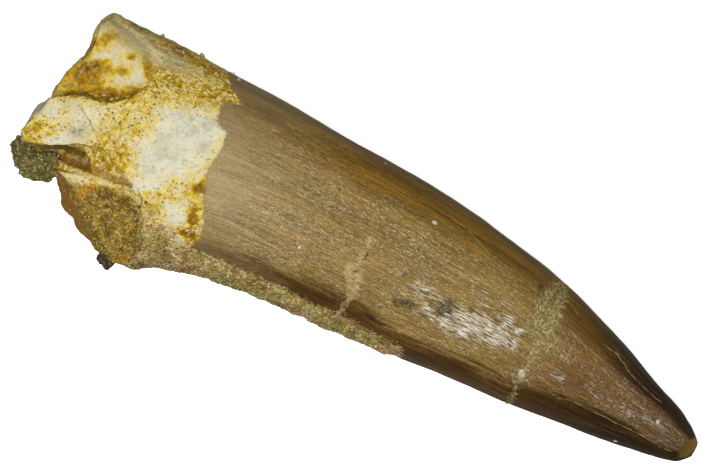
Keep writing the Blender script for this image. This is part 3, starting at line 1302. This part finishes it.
def with_cracks(wiring, place, colour, on_root, root, crown):
    """The same colour with the enamel's pale hairlines and the root's dark cracks."""
    near = wiring.rise(wiring.mark("line_far"), 0.16, 0.1)
    width = wiring.levels(on_root, 0.032, 0.05)
    thin = wiring.rise(wiring.maths("ABSOLUTE", wiring.mark("line_side")), width, 0.01)
    broken = wiring.levels(wiring.patches(place, 0.4, 0.4, 0.6), 0.12, 0.75)
    return wiring.over(colour, wiring.colours(on_root, crown.hairline, root.crack), near, thin, broken)


def tooth_material():
    """One material for the whole tooth: crown, root, broken faces, fillings and cracks."""
    scene = bpy.context.scene
    crown, root, rock = scene.crown_look, scene.root_look, scene.rock_look
    material, wiring, shader, place = new_material("tooth")
    shader.inputs["Specular IOR Level"].default_value = 0.23
    shader.inputs["Specular Tint"].default_value = (1.0, 0.88, 0.62, 1.0)
    path = wiring.direction("growth_path")
    colour, roughness, height = crown_surface(wiring, place, path, crown)
    root_colour, root_roughness, root_height = broken_root(wiring, place, path, root)
    on_root = zone(wiring, place, "root_side", size=0.25, raggedness=0.5, softness=0.1)
    colour = wiring.over(colour, root_colour, on_root)
    roughness = wiring.levels(on_root, roughness, root_roughness)
    height = wiring.levels(on_root, height, root_height)
    colour = with_rust_and_dust(wiring, place, colour, root, rock)
    colour, roughness, height = with_fillings(wiring, place, path, colour, roughness, height, root, crown)
    colour = with_cracks(wiring, place, colour, on_root, root, crown)
    finish_shader(wiring, shader, colour, roughness, height)
    return material


def rock_material(name, base, warm, light):
    """Granular rock between and under its loose grains."""
    material, wiring, shader, place = new_material(name)
    shader.inputs["Specular IOR Level"].default_value = 0.3
    colour, height = sandy_surface(wiring, place, 0.15, light, base, warm)
    finish_shader(wiring, shader, tinted(wiring, place, colour), wiring.levels(height, 0.7, 0.95), height)
    return material


def grain_material(kind):
    """Loose sand grains, each with its own tone; made the first time that its kind is asked for."""
    if kind in bpy.data.materials:
        return bpy.data.materials[kind]
    material, wiring, shader, place = new_material(kind)
    tone = wiring.mark("tone")
    colour = wiring.ramp(tone, [(stop, paint(*tint)) for stop, tint in GRAIN_TONES[kind]])
    cloud = wiring.cloud(place, 0.08)
    colour = toned(wiring, tinted(wiring, place, colour), cloud, 0.8, 1.15)
    finish_shader(wiring, shader, colour, wiring.levels(tone, 0.9, 0.6), wiring.times(cloud, 0.01))
    return material


def floor_material(look):
    """The pale floor: white to the eye, duller where it lights the tooth from below."""
    material, wiring, shader, _ = new_material("floor")
    settings = {
        "Base Color": look.floor,
        "Roughness": 0.9,
        "Specular IOR Level": 0.0,
        "Emission Color": (1.0, 1.0, 1.0, 1.0),
        "Emission Strength": look.floor_glow,
    }
    for socket, value in settings.items():
        wiring.feed(shader.inputs[socket], value)
    dull = wiring.add("ShaderNodeBsdfDiffuse", {"Color": look.floor_bounce})
    seen = wiring.add("ShaderNodeLightPath", {}).outputs["Is Camera Ray"]
    mixed = wiring.add("ShaderNodeMixShader", {0: seen, 1: dull.outputs[0], 2: shader.outputs[0]})
    output = next(node for node in wiring.tree.nodes if node.type == "OUTPUT_MATERIAL")
    wiring.feed(output.inputs["Surface"], mixed.outputs[0])
    return material


def pebble():
    """The points and faces of one small faceted grain, modelled once."""
    bpy.ops.object.select_all(action="DESELECT")
    bpy.ops.mesh.primitive_ico_sphere_add(subdivisions=1, radius=1.0)
    grain = bpy.context.view_layer.objects.active
    points = np.array([vertex.co for vertex in grain.data.vertices])
    faces = np.array([face.vertices for face in grain.data.polygons])
    bpy.ops.object.delete()
    return points, faces


def random_turns(chance, count):
    """A random rotation matrix for each of a number of grains."""
    quarter = chance.normal(size=(count, 4))
    quarter /= np.linalg.norm(quarter, axis=1)[:, None]
    w, x, y, z = quarter.T
    rows = [
        (1 - 2 * (y * y + z * z), 2 * (x * y - z * w), 2 * (x * z + y * w)),
        (2 * (x * y + z * w), 1 - 2 * (x * x + z * z), 2 * (y * z - x * w)),
        (2 * (x * z - y * w), 2 * (y * z + x * w), 1 - 2 * (x * x + y * y)),
    ]
    return np.array(rows).transpose(2, 0, 1)


def scattered(piece, wanted, count, chance):
    """Random places on a piece's wanted faces, and the outward directions there."""
    areas = read_all(piece.data.polygons, "area", 1)[:, 0]
    chances = areas * wanted
    picked = chance.choice(len(areas), size=count, p=chances / chances.sum())
    jitter = chance.uniform(-GRAIN_JITTER, GRAIN_JITTER, size=(count, 3))
    normals = face_normals(piece)[picked]
    jitter -= normals * np.sum(jitter * normals, axis=1)[:, None]
    return face_centres(piece)[picked] + jitter, normals


def make_grains(name, places, normals, radius, spread, sink, material, slot, chance):
    """Sand grains at these places, sunk into the surface, joined in one piece."""
    points, faces = pebble()
    count = len(places)
    sizes = radius * np.exp(chance.normal(0.0, spread, size=count))
    shapes = chance.uniform(0.65, 1.3, size=(count, 1, 3))
    knocks = chance.uniform(0.8, 1.2, size=(count, len(points), 1))
    grains = points[None] * shapes * knocks * sizes[:, None, None]
    grains = np.einsum("nij,npj->npi", random_turns(chance, count), grains)
    grains += (places + normals * (sizes * sink)[:, None])[:, None]
    grains[:, :, 2] = np.maximum(grains[:, :, 2], 0.0)
    corners = faces[None] + (np.arange(count) * len(points))[:, None, None]
    mesh = bpy.data.meshes.new(name)
    mesh.from_pydata((grains.reshape(-1, 3) * MM).tolist(), [], corners.reshape(-1, 3).tolist())
    piece = bpy.data.objects.new(name, mesh)
    bpy.context.scene.collection.objects.link(piece)
    set_marks(piece, tone=np.repeat(chance.uniform(size=count), len(points)))
    finish_piece(piece, material, slot)


def mark_of_faces(piece, name):
    """The mean of a stored number over each face's corners, for four-cornered faces."""
    values = np.empty(len(piece.data.vertices))
    piece.data.attributes[name].data.foreach_get("value", values)
    return np.array([values[list(face.vertices)].mean() for face in piece.data.polygons])


def away_from_tooth(piece):
    """1 for the faces that look away from the tooth's middle, 0 for the others."""
    centres = face_centres(piece)
    middle_y, middle_z, _, _ = sections_at(centres)
    out = np.column_stack((np.zeros(len(centres)), centres[:, 1] - middle_y, centres[:, 2] - middle_z))
    return (np.sum(out * face_normals(piece), axis=1) > 0.0).astype(float)


def grain_areas(tooth):
    """Where the tooth's faces carry grains: its sandy plate, dusty edge, root and tip filling."""
    upward = face_normals(tooth)[:, 2]
    sandy = mark_of_faces(tooth, "sandy_side")
    rich = mark_of_faces(tooth, "rich")
    scooped = mark_of_faces(tooth, "scoop_side")
    plate = eased(sandy, 0.0, 0.3) * (mark_of_faces(tooth, "band_side") < 0.0)
    edge = eased(mark_of_faces(tooth, "dust"), 0.3, 0.7) * (upward > -0.3)
    root = eased(mark_of_faces(tooth, "root_side"), 0.15, 0.4) * (upward > -0.2)
    root *= eased(rich, 0.2, 0.5) * eased(-rich, -0.75, -0.6) * eased(-scooped, 0.0, 0.1)
    root *= eased(-sandy, 0.0, 0.1)
    filling = eased(mark_of_faces(tooth, "filling_side"), 0.0, 0.15)
    filling *= eased(face_centres(tooth)[:, 0], 8.0, 9.0)
    return plate, edge, root, filling


class FOSSIL_OT_tooth(bpy.types.Operator):
    """Model the tooth's visible surface and give it its finish."""

    bl_idname = "fossil.tooth"
    bl_label = "Tooth"

    def execute(self, context):
        make_tooth_skin()
        return {"FINISHED"}


class FOSSIL_OT_crust(bpy.types.Operator):
    """Model the strip of sandy rock on the tooth's low flank."""

    bl_idname = "fossil.crust"
    bl_label = "Rock crust"

    def execute(self, context):
        look = context.scene.rock_look
        material = rock_material("sandy_rock", look.crust_base, look.crust_warm, look.crust_light)
        size = {"voxel": 0.11, "swell": 0.1, "lumps": 0.05, "fine": 0.05}
        skin = make_rock_skin("matrix_crust", "crust_skin", material, "sandy_matrix", **size)
        drawn_in(skin, 0.2)
        feathered(skin, 0.7)
        return {"FINISHED"}


class FOSSIL_OT_nodule(bpy.types.Operator):
    """Model the dark lump of rock at the end of the root."""

    bl_idname = "fossil.nodule"
    bl_label = "Rock nodule"

    def execute(self, context):
        look = context.scene.rock_look
        material = rock_material("dark_rock", look.nodule_base, look.nodule_warm, look.nodule_light)
        size = {"voxel": 0.09, "swell": -0.16, "lumps": 0.3, "fine": 0.1, "reach": (0.9, 0.6, 0.1)}
        make_rock_skin("matrix_nodule", "nodule_skin", material, "dark_matrix", stretch=0.2, **size)
        return {"FINISHED"}


class FOSSIL_OT_flake(bpy.types.Operator):
    """Model the dark flake under the root's low corner."""

    bl_idname = "fossil.flake"
    bl_label = "Rock flake"

    def execute(self, context):
        look = context.scene.rock_look
        material = rock_material("dark_flake_rock", look.flake_base, look.flake_base, look.flake_light)
        size = {"voxel": 0.05, "swell": 0.08, "lumps": 0.2, "fine": 0.06, "reach": (0.1, 0.4, 0.1)}
        flake = make_rock_skin("matrix_flake", "flake_skin", material, "dark_flake", **size)
        points = points_of(flake)
        middle = points.mean(axis=0)
        set_points(flake, middle + (points - middle) * FLAKE_SHARE)
        return {"FINISHED"}


class FOSSIL_OT_grains(bpy.types.Operator):
    """Scatter sand grains over the rock, the sandy plate and the fillings."""

    bl_idname = "fossil.grains"
    bl_label = "Sand grains"

    def execute(self, context):
        skins = bpy.data.objects
        crust, nodule, tooth = skins["crust_skin"], skins["nodule_skin"], skins["tooth_skin"]
        outside = away_from_tooth(crust)
        whole = np.ones(len(nodule.data.polygons))
        plate, edge, root, filling = grain_areas(tooth)
        chance = np.random.default_rng(SEED)
        # The grains' name and kind, the slot, what carries them and where, and how many. Then their size
        # beside a middling grain, how unlike they are, and how far they stand out.
        first = [
            ("crust_grains", "crust_grain", "sandy_matrix", crust, outside, 5600, 0.75, 0.28, -0.4),
            ("nodule_grains", "nodule_grain", "dark_matrix", nodule, whole, 1500, 0.85, 0.3, -0.3),
            ("plate_grains", "plate_grain", "tooth", tooth, plate, 1300, 0.8, 0.3, -0.35),
            ("edge_grains", "crust_grain", "sandy_matrix", tooth, edge, 1500, 0.7, 0.3, -0.3),
        ]
        last = [
            ("root_grains", "root_grain", "tooth", tooth, root, 800, 0.58, 0.3, -0.55),
            ("filling_grains", "filling_grain", "tooth", tooth, filling, 260, 0.6, 0.45, -0.4),
        ]
        for row in first:
            self.scatter(context, chance, *row)
        self.edge_crumbs(tooth, chance)
        for row in last:
            self.scatter(context, chance, *row)
        return {"FINISHED"}

    def scatter(self, context, chance, name, kind, slot, piece, wanted, count, size, spread, sink):
        """Scatters grains of one kind over the wanted faces of a piece."""
        radius = context.scene.rock_look.grain / MM
        places, normals = scattered(piece, wanted, count, chance)
        make_grains(name, places, normals, radius * size, spread, sink, grain_material(kind), slot, chance)

    def edge_crumbs(self, tooth, chance):
        """Sets the crumbs of EDGE_CRUMBS on the highest points of the tooth's upper edge."""
        points = points_of(tooth)
        tops = [points[np.argmax(points[:, 1] - 9.0 * np.abs(points[:, 0] - x))] for x, _ in EDGE_CRUMBS]
        outward = np.tile((0.0, 1.0, 0.1), (len(tops), 1))
        sizes = np.array([size for _, size in EDGE_CRUMBS])
        material = grain_material("crust_grain")
        make_grains(
            "edge_crumbs", np.array(tops), outward, sizes, 0.05, 0.35, material, "sandy_matrix", chance
        )


class FOSSIL_OT_stage(bpy.types.Operator):
    """Set up the pale floor, the soft lights and the camera."""

    bl_idname = "fossil.stage"
    bl_label = "Stage"

    def execute(self, context):
        look = context.scene.stage_look
        bpy.ops.object.select_all(action="DESELECT")
        bpy.ops.mesh.primitive_plane_add(size=FLOOR_SIZE, location=(0.0, 0.0, FLOOR_LEVEL))
        floor = context.view_layer.objects.active
        floor.name = "floor"
        floor.data.materials.append(floor_material(look))

        self.light("key", look.key_power)
        self.light("side", look.side_power)

        world = context.scene.world or bpy.data.worlds.new("surround")
        context.scene.world = world
        world.use_nodes = True
        world.node_tree.nodes.clear()
        wiring = Wiring(world.node_tree)
        direction = wiring.add("ShaderNodeTexCoord", {}).outputs["Generated"]
        upward = wiring.rise(wiring.part(direction, "Z"), -0.1, 0.9)
        strength = wiring.levels(upward, look.horizon, look.sky)
        background = wiring.add("ShaderNodeBackground", {"Strength": strength})
        output = wiring.add("ShaderNodeOutputWorld", {})
        wiring.feed(output.inputs["Surface"], background.outputs[0])

        distance = VIEW_WIDTH * look.lens / SENSOR
        bpy.ops.object.camera_add(
            location=(VIEW_CENTRE[0] * MM, VIEW_CENTRE[1] * MM, (VIEW_LEVEL + distance) * MM),
            rotation=(0.0, 0.0, math.radians(VIEW_TURN)),
        )
        camera = context.view_layer.objects.active
        camera.name = "camera"
        camera.data.sensor_width = SENSOR
        camera.data.lens = look.lens
        camera.data.clip_start = 0.01
        camera.data.clip_end = 10.0
        context.scene.camera = camera
        context.scene.view_settings.view_transform = "Standard"
        return {"FINISHED"}

    def light(self, name, power):
        """A square soft light that faces the tooth."""
        size, place = LIGHTS[name]
        bpy.ops.object.light_add(type="AREA", location=place)
        lamp = bpy.context.view_layer.objects.active
        lamp.name = name
        lamp.data.energy = power
        lamp.data.size = size
        lamp.rotation_euler = (-Vector(place)).to_track_quat("-Z", "Y").to_euler()


class FOSSIL_PT_panel(bpy.types.Panel):
    """Lists the steps that dress the tooth."""

    bl_idname = "FOSSIL_PT_panel"
    bl_label = "Fossil tooth"
    bl_space_type = "VIEW_3D"
    bl_region_type = "UI"
    bl_category = "Fossil"

    def draw(self, context):
        for step in STEPS:
            self.layout.operator(step.bl_idname)
        for look in LOOKS:
            column = self.layout.column()
            column.label(text=look)
            for name in LOOKS[look].__annotations__:
                column.prop(getattr(context.scene, look), name)


LOOKS = {"crown_look": CrownLook, "root_look": RootLook, "rock_look": RockLook, "stage_look": StageLook}
STEPS = [
    FOSSIL_OT_stage,
    FOSSIL_OT_tooth,
    FOSSIL_OT_crust,
    FOSSIL_OT_nodule,
    FOSSIL_OT_flake,
    FOSSIL_OT_grains,
]
CLASSES = [*LOOKS.values(), *STEPS, FOSSIL_PT_panel]


def register():
    for kind in CLASSES:
        bpy.utils.register_class(kind)
    for name, kind in LOOKS.items():
        setattr(bpy.types.Scene, name, bpy.props.PointerProperty(type=kind))


def unregister():
    for name in LOOKS:
        delattr(bpy.types.Scene, name)
    for kind in reversed(CLASSES):
        bpy.utils.unregister_class(kind)


def main():
    register()
    bpy.ops.fossil.stage()
    bpy.ops.fossil.tooth()
    bpy.ops.fossil.crust()
    bpy.ops.fossil.nodule()
    bpy.ops.fossil.flake()
    bpy.ops.fossil.grains()


if __name__ == "__main__":
    main()
